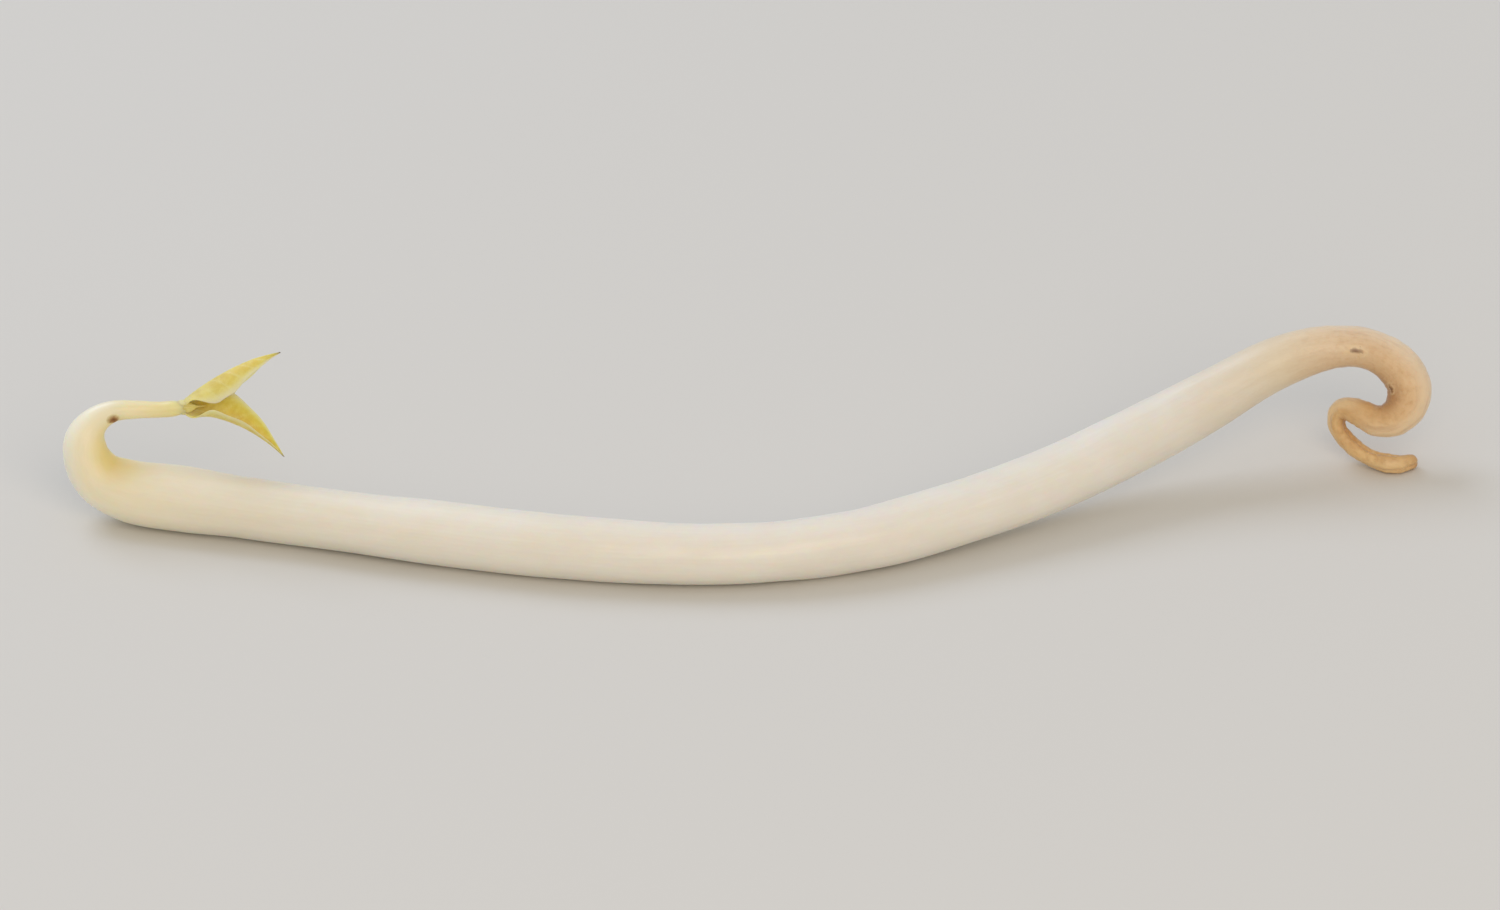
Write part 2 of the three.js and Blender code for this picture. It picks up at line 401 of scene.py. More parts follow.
# The small corky eyes on the root: station, the way they face and half their width
lenticels = [
    (11.3, (0.1, -0.95, 0.32), 0.36), (9.3, (-0.75, -0.55, 0.2), 0.30), (10.1, (0.6, 0.7, 0.3), 0.26),
    (12.3, (0, 0.8, 0.1), 0.32), (8.0, (0.3, 0.2, -0.9), 0.22), (13.4, (0.1, 0.3, -0.8), 0.28),
]


def lenticelPoints():
    places = []
    for station, facing, _ in lenticels:
        ring = ringAt(station)
        places.append((ring["centre"] + across(facing, ring["along"]) * ring["radius"]) * mm)
    mesh = bpy.data.meshes.new("lenticelPoints")
    mesh.from_pydata(places, [], [])
    addValues(mesh, reach=[reach * mm for *_, reach in lenticels])
    return newObject("lenticelPoints", mesh)


# Values on the points that the node tree reads
carried = {
    **dict.fromkeys(("thickness", "length", "turn", "rootness", "tailness", "reach"), "FLOAT"),
    **dict.fromkeys(("core", "along", "bend", "straight"), "FLOAT_VECTOR"),
}


# The tree's named inputs, and a reader for each of those values
def growthInputs(tree):
    tree.interface.new_socket("Geometry", in_out="OUTPUT", socket_type="NodeSocketGeometry")
    kinds = {"Geometry": "Geometry", "Lenticels": "Object", "Material": "Material",
             **dict.fromkeys((*axis["numbers"], *axis["lengths"]), "Float"), "Sides": "Int"}
    for name, kind in kinds.items():
        tree.interface.new_socket(name, in_out="INPUT", socket_type="NodeSocket" + kind)
    read = {name: addNode(tree, "GeometryNodeInputNamedAttribute", {"Name": name}, data_type=kind)
            for name, kind in carried.items()}
    read["here"] = addNode(tree, "GeometryNodeInputPosition")
    return addNode(tree, "NodeGroupInput").outputs, read


# A circle swept along the line. Each point keeps its place on the straightened axis: across, across, along
def sweptSkin(tree, given, read):
    spline = addNode(tree, "GeometryNodeSplineParameter").outputs
    tangent = addNode(tree, "GeometryNodeInputTangent")
    rail = addNode(tree, "GeometryNodeMeshToCurve", {"Mesh": given["Geometry"]})
    for name, value in (("core", read["here"]), ("along", tangent), ("length", spline["Length"])):
        rail = addNode(tree, "GeometryNodeStoreNamedAttribute", {
            "Geometry": rail, "Name": name, "Value": value}, data_type=carried[name])
    circle = addNode(tree, "GeometryNodeCurvePrimitiveCircle", {"Resolution": given["Sides"]})
    part = addNode(tree, "ShaderNodeMath", {0: spline["Index"], 1: given["Sides"]}, operation="DIVIDE")
    angle = addNode(tree, "ShaderNodeMath", {0: part, 1: 2 * math.pi}, operation="MULTIPLY")
    profile = addNode(tree, "GeometryNodeStoreNamedAttribute", {
        "Geometry": circle, "Name": "turn", "Value": angle})
    skin = addNode(tree, "GeometryNodeCurveToMesh", {
        "Curve": rail, "Profile Curve": profile, "Scale": read["thickness"]})
    flat = {2: read["length"]}
    for side, operation in enumerate(("COSINE", "SINE")):
        wave = addNode(tree, "ShaderNodeMath", {0: read["turn"]}, operation=operation)
        flat[side] = addNode(tree, "ShaderNodeMath", {0: wave, 1: read["thickness"]}, operation="MULTIPLY")
    place = addNode(tree, "ShaderNodeCombineXYZ", flat)
    return addNode(tree, "GeometryNodeStoreNamedAttribute", {
        "Geometry": skin, "Name": "straight", "Value": place}, data_type="FLOAT_VECTOR")


# How far each point stands out from the round
def reliefLift(tree, given, read):
    # A slightly oval section, which turns slowly on its way along
    way = addNode(tree, "ShaderNodeMath", {0: read["length"], 1: given["Oval length"]}, operation="DIVIDE")
    wander = addNode(tree, "ShaderNodeTexNoise", {
        "W": way, "Scale": 1.0, "Detail": 1.0}, noise_dimensions="1D")
    wander = addNode(tree, "ShaderNodeMath", {0: wander, 1: axis["wander"]}, operation="MULTIPLY")
    lift = addNode(tree, "ShaderNodeMath", {0: read["turn"], 1: 2.0, 2: wander}, operation="MULTIPLY_ADD")
    for operation, value in (
            ("COSINE", 0.0), ("MULTIPLY", read["thickness"]), ("MULTIPLY", given["Ovalness"])):
        lift = addNode(tree, "ShaderNodeMath", {0: lift, 1: value}, operation=operation)

    # Furrows, dents and the root's wrinkles, all faded out at the pointed ends
    slim = addNode(tree, "ShaderNodeMath", {
        0: read["thickness"], 1: axis["slimRadius"] * mm}, operation="DIVIDE")
    slim = addNode(tree, "ShaderNodeMath", {0: slim, 1: 1.0}, operation="MINIMUM")
    wrinkled = addNode(tree, "ShaderNodeMath", {0: slim, 1: read["rootness"]}, operation="MULTIPLY")
    for index, (relief, share) in enumerate((("Groove", slim), ("Dent", slim), ("Wrinkle", wrinkled))):
        width, length, depth = (given[f"{relief} {size}"] for size in ("width", "length", "depth"))
        size = addNode(tree, "ShaderNodeCombineXYZ", {0: width, 1: width, 2: length})
        place = addNode(tree, "ShaderNodeVectorMath", {0: read["straight"], 1: size}, operation="DIVIDE")
        seed = addNode(tree, "ShaderNodeMath", {
            0: given["Seed"], 1: axis["seedStep"] * index}, operation="ADD")
        waves = addNode(tree, "ShaderNodeTexNoise", {
            "Vector": place, "W": seed, "Scale": 1.0, "Detail": 2.0}, noise_dimensions="4D")
        waves = addNode(tree, "ShaderNodeMath", {0: waves, 1: 0.5}, operation="SUBTRACT")
        reach = addNode(tree, "ShaderNodeMath", {0: depth, 1: share}, operation="MULTIPLY")
        lift = addNode(tree, "ShaderNodeMath", {0: waves, 1: reach, 2: lift}, operation="MULTIPLY_ADD")

    # Creases along the tail, which wander with the oval
    crease = addNode(tree, "ShaderNodeMath", {
        0: read["turn"], 1: given["Furrows"], 2: wander}, operation="MULTIPLY_ADD")
    for operation, value in (
            ("COSINE", 0.0), ("MAXIMUM", 0.0), ("POWER", axis["creasePower"]),
            ("MULTIPLY", read["tailness"]), ("MULTIPLY", slim), ("MULTIPLY", given["Furrow depth"])):
        crease = addNode(tree, "ShaderNodeMath", {0: crease, 1: value}, operation=operation)
    return addNode(tree, "ShaderNodeMath", {0: lift, 1: crease}, operation="SUBTRACT")


# Ragged little eyes around the lenticel points, longer than wide: 1 in the middle, 0 outside
def lenticelEyes(tree, given, read):
    eyes = addNode(tree, "GeometryNodeObjectInfo", {"Object": given["Lenticels"]}).outputs["Geometry"]
    nearest = addNode(tree, "GeometryNodeSampleNearest", {"Geometry": eyes})
    centre = addNode(tree, "GeometryNodeSampleIndex", {
        "Geometry": eyes, "Value": read["here"], "Index": nearest}, data_type="FLOAT_VECTOR")
    reach = addNode(tree, "GeometryNodeSampleIndex", {
        "Geometry": eyes, "Value": read["reach"], "Index": nearest})
    off = addNode(tree, "ShaderNodeVectorMath", {0: read["here"], 1: centre}, operation="SUBTRACT")
    slide = addNode(tree, "ShaderNodeVectorMath", {0: off, 1: read["along"]}, operation="DOT_PRODUCT")
    squeezed = addNode(tree, "ShaderNodeMath", {0: slide, 1: given["Lenticel stretch"]}, operation="DIVIDE")
    change = addNode(tree, "ShaderNodeMath", {0: squeezed, 1: slide}, operation="SUBTRACT")
    drawn = addNode(tree, "ShaderNodeVectorMath", {
        0: read["along"], 1: change, 2: off}, operation="MULTIPLY_ADD")
    away = addNode(tree, "ShaderNodeVectorMath", {0: drawn}, operation="LENGTH")
    swing, offset = axis["raggedness"]
    ragged = addNode(tree, "ShaderNodeTexNoise", {
        "Vector": read["straight"], "Scale": axis["raggedScale"], "Detail": 3.0})
    ragged = addNode(tree, "ShaderNodeMath", {0: ragged, 1: swing, 2: offset}, operation="MULTIPLY_ADD")
    away = addNode(tree, "ShaderNodeMath", {0: away, 1: ragged}, operation="MULTIPLY")
    return addNode(tree, "ShaderNodeMapRange", {
        "Value": away, "From Min": reach, "From Max": 0.0}, interpolation_type="SMOOTHSTEP")


# Grows the skin: sweeps the line, then moves each point along its own spoke by the relief
def growthTree():
    tree = bpy.data.node_groups.new("grownAxis", "GeometryNodeTree")
    given, read = growthInputs(tree)
    skin = sweptSkin(tree, given, read)
    lift = reliefLift(tree, given, read)
    eye = lenticelEyes(tree, given, read)
    lift = addNode(tree, "ShaderNodeMath", {
        0: eye, 1: given["Lenticel height"], 2: lift}, operation="MULTIPLY_ADD")
    spoke = addNode(tree, "ShaderNodeVectorMath", {0: read["here"], 1: read["core"]}, operation="SUBTRACT")
    spoke = addNode(tree, "ShaderNodeVectorMath", {0: spoke}, operation="NORMALIZE")
    inside = addNode(tree, "ShaderNodeVectorMath", {0: spoke, 1: read["bend"]}, operation="DOT_PRODUCT")
    for name, value in (("lenticel", eye), ("inside", inside)):
        skin = addNode(tree, "GeometryNodeStoreNamedAttribute", {
            "Geometry": skin, "Name": name, "Value": value})
    move = addNode(tree, "ShaderNodeVectorMath", {0: spoke, "Scale": lift}, operation="SCALE")
    skin = addNode(tree, "GeometryNodeSetPosition", {"Geometry": skin, "Offset": move})
    skin = addNode(tree, "GeometryNodeMergeByDistance", {"Geometry": skin, "Distance": 0.001 * mm})
    skin = addNode(tree, "GeometryNodeSetShadeSmooth", {"Geometry": skin})
    skin = addNode(tree, "GeometryNodeRealizeInstances", {"Geometry": skin})
    skin = addNode(tree, "GeometryNodeSetMaterial", {"Geometry": skin, "Material": given["Material"]})
    addNode(tree, "NodeGroupOutput", {"Geometry": skin})
    return tree


def grownSkin(material):
    line, eyes, tree = axisLine(), lenticelPoints(), growthTree()
    modifier = line.modifiers.new("grownAxis", "NODES")
    modifier.node_group = tree
    given = {"Lenticels": eyes, "Material": material, **axis["numbers"]}
    given.update({name: length * mm for name, length in axis["lengths"].items()})
    for item in tree.interface.items_tree:
        if item.item_type == "SOCKET" and item.in_out == "INPUT" and item.name in given:
            modifier[item.identifier] = given[item.name]
    graph = bpy.context.evaluated_depsgraph_get()
    mesh = bpy.data.meshes.new_from_object(line.evaluated_get(graph), depsgraph=graph)
    line.modifiers.remove(modifier)
    for thing in (line, eyes):
        bpy.data.objects.remove(thing)
    return mesh


# One organ cut from the shared skin and closed flat, with the shading of the whole
def organMesh(whole, first, last):
    work = bmesh.new()
    work.from_mesh(whole)
    station = work.verts.layers.float["station"]
    length = work.verts.layers.float["length"]
    source = work.verts.layers.int.new("source")
    for vert in work.verts:
        vert[source] = vert.index
    gone = [face for face in work.faces
            if not first < sum(vert[station] for vert in face.verts) / len(face.verts) < last]
    bmesh.ops.delete(work, geom=gone, context="FACES")
    rim = [edge for edge in work.edges if edge.is_boundary]
    caps = set(bmesh.ops.holes_fill(work, edges=rim, sides=0)["faces"])
    share = work.verts.layers.float.new("share")
    reach = [vert[length] for vert in work.verts]
    start, stop = min(reach), max(reach)
    for vert in work.verts:
        vert[share] = (vert[length] - start) / (stop - start)
    work.normal_update()
    normals = []
    for face in work.faces:
        for loop in face.loops:
            own = whole.vertices[loop.vert[source]].normal
            normals.append((face.normal if face in caps else own).copy())
    work.verts.layers.int.remove(work.verts.layers.int["source"])
    mesh = bpy.data.meshes.new("organ")
    work.to_mesh(mesh)
    work.free()
    mesh.normals_split_custom_set(normals)
    print("organ from", first, "to", last, "is", round((stop - start) / mm, 1), "long")
    return mesh


# The colours of the living skin where two organs meet: ground, pale streaks, deeper patches
collarTones = (0xe5d4b5, 0xefe2ca, 0xd3b890)
nodeTones = (0xf1e4ba, 0xf8efd8, 0xe2cb84)
leafFootTone = 0xe7db98

rootLook = {  # thin brown skin over pale flesh: tan, a little corky, dull
    "ground": [(0.0, 0xc4965e), (0.04, 0xe2b97a), (0.12, 0xefcd93), (0.26, 0xe9c489), (0.38, 0xdeb67b),
               (0.52, 0xddb683), (0.68, 0xe0c196), (0.84, 0xe3caa7), (1.0, collarTones[0])],
    "pale": [(0.0, 0xd9b176), (0.3, 0xecca98), (0.7, 0xebcca0), (0.84, 0xedd3ad), (1.0, collarTones[1])],
    "deep": [(0.0, 0xa97843), (0.1, 0xc69658), (0.3, 0xca9c60), (0.6, 0xc6965e), (0.84, 0xcba273),
             (1.0, collarTones[2])],
    # inside of bends, darker: the skin's own deeper tone there plus painted shade in the hollow
    "innerToneAndShade": [(0.0, 0xb07f47), (0.3, 0xb9854a), (0.55, 0xbd8c58), (0.75, 0xcba273), (1.0, 0xd3b48a)],
    # outside of bends, paler: painted highlight
    "outerHighlight": [(0.0, 0xe4c08a), (0.3, 0xe9cc9e), (0.55, 0xecd3ae), (0.7, 0xf0ddc2), (1.0, 0xefe5d3)],
    "stains": [(0.0, 0.6), (0.08, 0.3), (0.3, 0.26), (0.7, 0.28), (0.86, 0.15), (1.0, 0.03)],
    "grain": [(0.8, 1.0), (1.0, 0.8)],
    "flesh": [(0.0, 0.15), (0.75, 0.25), (0.93, 0.12), (1.0, 0.0)],
    "wrinkles": [(0.0, 1.0), (0.7, 0.7), (1.0, 0.15)],
}
stemLook = {  # watery flesh under thin wax: milky, soft gloss, faint lengthwise grain
    "ground": [(0.0, collarTones[0]), (0.03, 0xe4d9c3), (0.08, 0xe8e2d6), (0.16, 0xebe7dd), (0.4, 0xebe6db),
               (0.7, 0xebe6d9), (0.84, 0xece6d4), (0.92, 0xf1e9ce), (0.97, 0xf4e9c5), (1.0, nodeTones[0])],
    "pale": [(0.0, collarTones[1]), (0.1, 0xf0ede5), (0.82, 0xf3efe4), (1.0, nodeTones[1])],
    "deep": [(0.0, collarTones[2]), (0.1, 0xd6c8a9), (0.82, 0xdbceac), (1.0, nodeTones[2])],
    # inside of bends, darker: the skin's own deeper tone there plus painted shade in the hollow
    "innerToneAndShade": [(0.0, 0xd3b48a), (0.1, 0xd9cba8), (0.8, 0xdccb9c), (0.93, 0xe9cf68), (1.0, 0xe9d982)],
    # outside of bends, paler: painted highlight
    "outerHighlight": [(0.0, 0xefe5d3), (0.1, 0xefebe0), (0.8, 0xf3eddc), (1.0, 0xfaf4de)],
    "stains": [(0.0, 0.03), (0.12, 0.02), (0.3, 0.0)],
    "grain": [(0.0, 0.8), (0.1, 0.55), (0.9, 0.55), (1.0, 0.6)],
    "flesh": [(0.0, 0.0), (0.06, 0.7), (0.12, 1.0), (0.9, 1.0), (0.97, 0.6), (1.0, 0.0)],
    "wrinkles": [(0.0, 0.15), (0.1, 0.0)],
}
neckLook = {  # young neck: glassy, pale yellow
    "ground": [(0.0, nodeTones[0]), (0.4, 0xecdfb4), (0.7, 0xe9dca4), (0.88, leafFootTone)],
    "pale": [(0.0, nodeTones[1]), (0.6, 0xf5efc8), (0.88, 0xece3a4)],
    "deep": [(0.0, nodeTones[2]), (1.0, 0xcfbe68)],
    # inside of bends, darker: the skin's own deeper tone there plus painted shade in the hollow
    "innerToneAndShade": [(0.0, 0xe9d982), (1.0, 0xe0cf80)],
    # outside of bends, paler: painted highlight
    "outerHighlight": [(0.0, 0xfaf4de), (0.6, 0xf3ebc0), (0.88, 0xe9dd9a)],
    "stains": [(0.0, 0.0), (1.0, 0.05)],
    "grain": [(0.0, 0.6), (1.0, 0.6)],
    "flesh": [(0.0, 0.0), (0.2, 0.7)],
    "wrinkles": [(0.0, 0.0), (1.0, 0.0)],
}
skinGrain = {
    "patterns": {  # width and length in mm, and where the mask starts and is full
        "streak": (0.7, 9, 0.35, 0.65),
        "cloud": (2.6, 3.9, 0.35, 0.65),
        "stain": (0.55, 2.4, 0.52, 0.72),
        "fibre": (0.2, 4, 0.35, 0.65),
        "cells": (0.16, 2.2, 0.2, 0.8),  # cell rows are 0.03 wide, drawn coarser to show
        "crease": (0.9, 0.28, 0.2, 0.8),
        "speckle": (0.24, 0.36, 0.48, 0.66),  # pimples where fine side roots start
    },
    "seedStep": 2.3,  # so that no two line up
    # how tight a bend must be to get the full painted shade inside it and the full painted highlight outside
    # it
    "bends": {"innerToneAndShade": 0.6, "outerHighlight": -0.4},  # how tight a bend has the full tone of each side
    "layers": {  # tone and strength of each pattern
        "streak": ("pale", 0.30), "cloud": ("deep", 0.28), "fibre": ("deep", 0.13),
        "speckle": ("deep", 0.4), "innerToneAndShade": ("innerToneAndShade", 0.9), "outerHighlight": ("outerHighlight", 0.8),
    },
    "stain": 0x9a5f2c,
    "eyes": [  # rims and hearts of the lenticels, and where each shows
        (0xe9cf9f, [(0.0, 0.0), (0.3, 0.4), (0.6, 0.0)]),
        (0x6e4420, [(0.5, 0.0), (0.9, 0.75), (1.0, 0.9)]),
    ],
    "cellHeight": 0.25,  # of the bumps, where creases count 1
    "speckleHeight": 0.7,
    "roughness": (0.34, 0.52),
    "fleshReach": 1.3,  # how far light travels in the flesh
}


# One recipe for the skin of all three organs, so that they meet without a line
def livingSkin(name, look):
    material, tree = newMaterial(name)
    carry = {name: addNode(tree, "ShaderNodeAttribute", attribute_name=name).outputs
             for name in ("straight", "share", "lenticel", "inside")}
    tone = {part: addNode(tree, "ShaderNodeValToRGB", {"Fac": carry["share"]["Fac"]}, stops=stops)
            for part, stops in look.items()}
    mask = {}
    for index, (part, (width, length, low, high)) in enumerate(skinGrain["patterns"].items()):
        seed = index * skinGrain["seedStep"]
        mask[part] = cloudyMask(tree, carry["straight"]["Vector"], (width, width, length), low, high, seed)
    for part, fade in (("streak", "grain"), ("cloud", "grain"), ("fibre", "grain"), ("speckle", "wrinkles")):
        mask[part] = addNode(tree, "ShaderNodeMath", {0: mask[part], 1: tone[fade]}, operation="MULTIPLY")
    # Bend masks: painted shade over the skin's own deeper tone inside each bend, and a painted highlight
    # outside it
    for part, full in skinGrain["bends"].items():
        mask[part] = addNode(tree, "ShaderNodeMapRange", {
            "Value": carry["inside"]["Fac"], "From Max": full}, interpolation_type="SMOOTHSTEP")
    layers = [(tone[name], mask[part], strength) for part, (name, strength) in skinGrain["layers"].items()]
    layers.append((linear(skinGrain["stain"]), mask["stain"], tone["stains"]))
    for eyeColour, stops in skinGrain["eyes"]:
        eye = addNode(tree, "ShaderNodeValToRGB", {"Fac": carry["lenticel"]["Fac"]}, stops=stops)
        layers.append((linear(eyeColour), eye, 1.0))
    colour = painted(tree, tone["ground"], layers)
    low, high = skinGrain["roughness"]
    rough = addNode(tree, "ShaderNodeMapRange", {"Value": mask["cloud"], "To Min": low, "To Max": high})
    creases = addNode(tree, "ShaderNodeMath", {0: mask["crease"], 1: tone["wrinkles"]}, operation="MULTIPLY")
    height = addNode(tree, "ShaderNodeMath", {
        0: mask["cells"], 1: skinGrain["cellHeight"], 2: creases}, operation="MULTIPLY_ADD")
    height = addNode(tree, "ShaderNodeMath", {
        0: mask["speckle"], 1: skinGrain["speckleHeight"], 2: height}, operation="MULTIPLY_ADD")
    bump = addNode(tree, "ShaderNodeBump", {"Height": height, "Strength": 0.45, "Distance": 0.08 * mm})
    skin = addNode(tree, "ShaderNodeBsdfPrincipled", {
        "Base Color": colour, "Roughness": rough, "Normal": bump,
        "Subsurface Weight": tone["flesh"], "Subsurface Radius": (1.0, 0.68, 0.42),
        "Subsurface Scale": skinGrain["fleshReach"] * mm, "Sheen Weight": 0.2, "Sheen Roughness": 0.35,
        "Coat Weight": 0.2, "Coat Roughness": 0.3})
    addNode(tree, "ShaderNodeOutputMaterial", {"Surface": skin})
    return material


rootSkin = livingSkin("rootSkin", rootLook)
stemFlesh = livingSkin("stemFlesh", stemLook)
neckFlesh = livingSkin("neckFlesh", neckLook)
whole = grownSkin(stemFlesh)
print("skin grown with", len(whole.polygons), "faces")
newPiece("rootCurl", organMesh(whole, -1, collarStation), rootSkin, "root_skin", "taproot")
newPiece("stem", organMesh(whole, collarStation, nodeStation), stemFlesh, "stem_flesh", "hypocotyl")
newPiece("neck", organMesh(whole, nodeStation, endStation + 1), neckFlesh, "neck_flesh", "epicotyl")
skinSurface = BVHTree.FromPolygons(
    [vert.co for vert in whole.vertices], [face.vertices for face in whole.polygons])
bpy.data.meshes.remove(whole)

# The leaf pair opens like a beak. Each blade is folded along its midrib, with its
# edges turned to the other leaf.
leafPair = {
    "length": 6.7,
    "halfWidth": 0.8,  # from the midrib to one edge
    "fullest": 0.72,  # power: below 1 it is widest nearer its foot
    "foldDepth": 1.15,
    "thickness": 0.19,
    "opened": 0.3,  # share of the length where its full form starts
    "footWidth": 0.9,
    "footThickness": 0.32,
    "footRise": 0.05,  # above the last ring of the neck
    "footOffset": 0.36,
    "rootOffset": 0.26,
    "footSink": 1.1,  # how far down the neck the foot can still be felt
    "sinkTaper": (0.55, 0.8),  # share of its width lost on the way down, and by where
    "clasp": 0.95,  # diameter that the foot clasps
    "clasped": 0.12,  # share of the length that clasps it
    "rings": 80,
    "sinkRings": 10,
    "spans": 28,
    "edgeWave": 0.06,
    "waves": (19, 1.3),  # angles along the length and across the half width
    "waveShift": 2.1,  # between the two leaves
    "rimStart": 0.72,  # share of the half width from which the edge is paler
    "creaseDepth": 0.05,
    "creaseWidth": 0.16,
    "midribWidth": 0.07,
    "veinPairs": 7,
    "veinHeight": 0.022,
    "veinSink": 0.3,  # share of that, sunk in the inner face
    "veinSlant": 1.15,
    "veinPower": 8,  # higher is finer
    "veinStrength": 0.75,  # beside the midrib
    "veinStart": (0.12, 0.3),  # shares of the length between which side veins set in
    "veinStop": (0.06, 0.2),  # and fade out, from the tip
    "cells": 0.09,  # 0.02 in a real leaf, drawn coarser to show
    "ground": [(0.0, leafFootTone), (0.12, 0xe5d67a), (0.4, 0xe4cd66), (0.8, 0xe0c75e), (0.93, 0xd2b656)],
    "patches": [(0xc9ae3e, 0.9, 0.4, 0.65), (0xf0e392, 0.35, 0.45, 0.7)],  # colour, size and mask
    "marks": {"vein": (0xf0e6a8, 0.55), "rim": (0xf3e9b8, 0.75), "tip": (0x8a6a3e, 0.85)},
    "leaves": [
        ("leafUpper", "leaf_upper", (6.0, 0.9, 3.0), (-0.2, 0.1, 0.75), (0.35, -0.45, -0.8)),
        ("leafLower", "leaf_lower", (7.0, -1.5, -2.9), (0.3, 0.2, 1.5), (0.25, -0.3, 0.9)),
    ],
}


# Joins rings of points into one closed skin, with a point at each end
def skinOver(loops, start, end):
    size = len(loops[0])
    final = (len(loops) - 1) * size
    points = [point * mm for loop in loops for point in loop] + [start * mm, end * mm]
    first, last = len(points) - 2, len(points) - 1
    faces = []
    for index in range(size):
        after = (index + 1) % size
        faces.append((first, after, index))
        faces.append((last, final + index, final + after))
        for loop in range(len(loops) - 1):
            here, there = loop * size, (loop + 1) * size
            faces.append((here + index, here + after, there + after, there + index))
    mesh = bpy.data.meshes.new("skin")
    mesh.from_pydata(points, [], faces)
    mesh.shade_smooth()
    return mesh


def bladeSpread(place, look):
    foot = look["footWidth"] / (2 * look["halfWidth"])
    blade = math.sin(math.pi * place ** look["fullest"])
    return blade * (1 - foot * place) + foot * (1 - place)


def veinAt(place, out, look):
    midrib = math.exp(-(out / look["midribWidth"]) ** 2)
    branch = math.cos(2 * math.pi * (place * look["veinPairs"] - out * look["veinSlant"]))
    grown = smoothStep(place, *look["veinStart"]) * smoothStep(1 - place, *look["veinStop"])
    branch = max(0, branch) ** look["veinPower"] * (1 - out ** 4) * grown
    return max(midrib, look["veinStrength"] * branch)


def bladeMesh(look, root, foot, heading, bend, inward, wave):
    tip = foot + unit(heading) * look["length"]
    middle = (foot + tip) / 2 + Vector(bend)
    loops, veins, rims, places = [], [], [], []
    count, sinkRings, spans = look["rings"], look["sinkRings"], look["spans"]
    lost, lostBy = look["sinkTaper"]
    lengthwise, crosswise = look["waves"]
    for ring in range(-sinkRings, count):
        place = max(0, ring / count)
        centre = foot * (1 - place) ** 2 + middle * 2 * place * (1 - place) + tip * place ** 2
        along = unit((middle - foot) * (1 - place) + (tip - middle) * place)
        sunk = max(0, -ring / sinkRings)
        centre = centre.lerp(root, sunk)
        up = across(inward, along)
        side = along.cross(up)
        spread = bladeSpread(place, look) * (1 - lost * smoothStep(sunk, 0, lostBy))
        opened = smoothStep(place, 0, look["opened"])
        clasped = 1 - smoothStep(place, 0, look["clasped"])
        halfWidth = look["halfWidth"] * spread
        thickness = look["footThickness"] + (look["thickness"] - look["footThickness"]) * opened
        half = thickness / 2 * min(1, 2 * spread)
        loop = []
        for index in range(spans * 2):
            angle = math.pi * index / spans
            sideways, face = -math.cos(angle), math.sin(angle)
            out = abs(sideways)
            ridge = veinAt(place, out, look)
            wavy = math.sin(place * lengthwise + sideways * crosswise + wave)
            rise = look["foldDepth"] * spread * opened * out * out
            rise += look["edgeWave"] * opened * spread * out ** 3 * wavy
            rise -= look["creaseDepth"] * opened * math.exp(-(out / look["creaseWidth"]) ** 2)
            rise += (look["footWidth"] / 2 * out) ** 2 / look["clasp"] * clasped
            veinLift = look["veinHeight"] * ridge * opened * (1 if face < 0 else -look["veinSink"])
            loop.append(centre + side * halfWidth * sideways + up * (rise + face * (half + veinLift)))
            veins.append(ridge)
            rims.append(smoothStep(out, look["rimStart"], 1.0) * opened)
            places.append(place)
        loops.append(loop)
    mesh = skinOver(loops, root, tip)
    addValues(mesh, vein=veins + [0, 0], rim=rims + [0, 0], place=places + [0, 1])
    return mesh


# Young leaf grown in the dark: thin, yellow, matt, paler at veins and edges
def leafMaterial():
    material, tree = newMaterial("etiolatedLeaf")
    read = {name: addNode(tree, "ShaderNodeAttribute", attribute_name=name).outputs["Fac"]
            for name in ("vein", "rim", "place")}
    read["tip"] = addNode(tree, "ShaderNodeMapRange", {
        "Value": read["place"], "From Min": 0.95}, interpolation_type="SMOOTHSTEP")
    where = addNode(tree, "ShaderNodeTexCoord").outputs["Object"]
    cells = cloudyMask(tree, where, (leafPair["cells"],) * 3, 0.3, 0.7)
    ground = addNode(tree, "ShaderNodeValToRGB", {"Fac": read["place"]}, stops=leafPair["ground"])
    grown = addNode(tree, "ShaderNodeMapRange", {"Value": read["place"], "From Max": 0.15, "To Max": 0.35})
    layers = [(linear(patch), cloudyMask(tree, where, (size,) * 3, low, high), grown)
              for patch, size, low, high in leafPair["patches"]]
    layers += [(linear(mark), read[part], strength) for part, (mark, strength) in leafPair["marks"].items()]
    colour = painted(tree, ground, layers)
    height = addNode(tree, "ShaderNodeMath", {0: cells, 1: read["vein"]}, operation="ADD")
    bump = addNode(tree, "ShaderNodeBump", {"Height": height, "Strength": 0.35, "Distance": 0.03 * mm})
    rough = addNode(tree, "ShaderNodeMapRange", {"Value": cells, "To Min": 0.45, "To Max": 0.62})
    blade = addNode(tree, "ShaderNodeBsdfPrincipled", {
        "Base Color": colour, "Roughness": rough, "Normal": bump, "Subsurface Weight": 0.6,
        "Subsurface Radius": (1.0, 0.85, 0.2), "Subsurface Scale": 0.35 * mm, "Sheen Weight": 0.1})
    addNode(tree, "ShaderNodeOutputMaterial", {"Surface": blade})
    return material


etiolatedLeaf = leafMaterial()
end = rings[-1]
budFoot = end["centre"] + end["along"] * leafPair["footRise"]
for index, (name, node, heading, bend, inward) in enumerate(leafPair["leaves"]):
    outward = across(-Vector(inward), end["along"])
    foot = budFoot + outward * leafPair["footOffset"]
    root = budFoot + outward * leafPair["rootOffset"] - end["along"] * leafPair["footSink"]
    blade = bladeMesh(leafPair, root, foot, heading, bend, inward, index * leafPair["waveShift"])
    newPiece(name, blade, etiolatedLeaf, "leaf_blade", node)
print("leaves made")

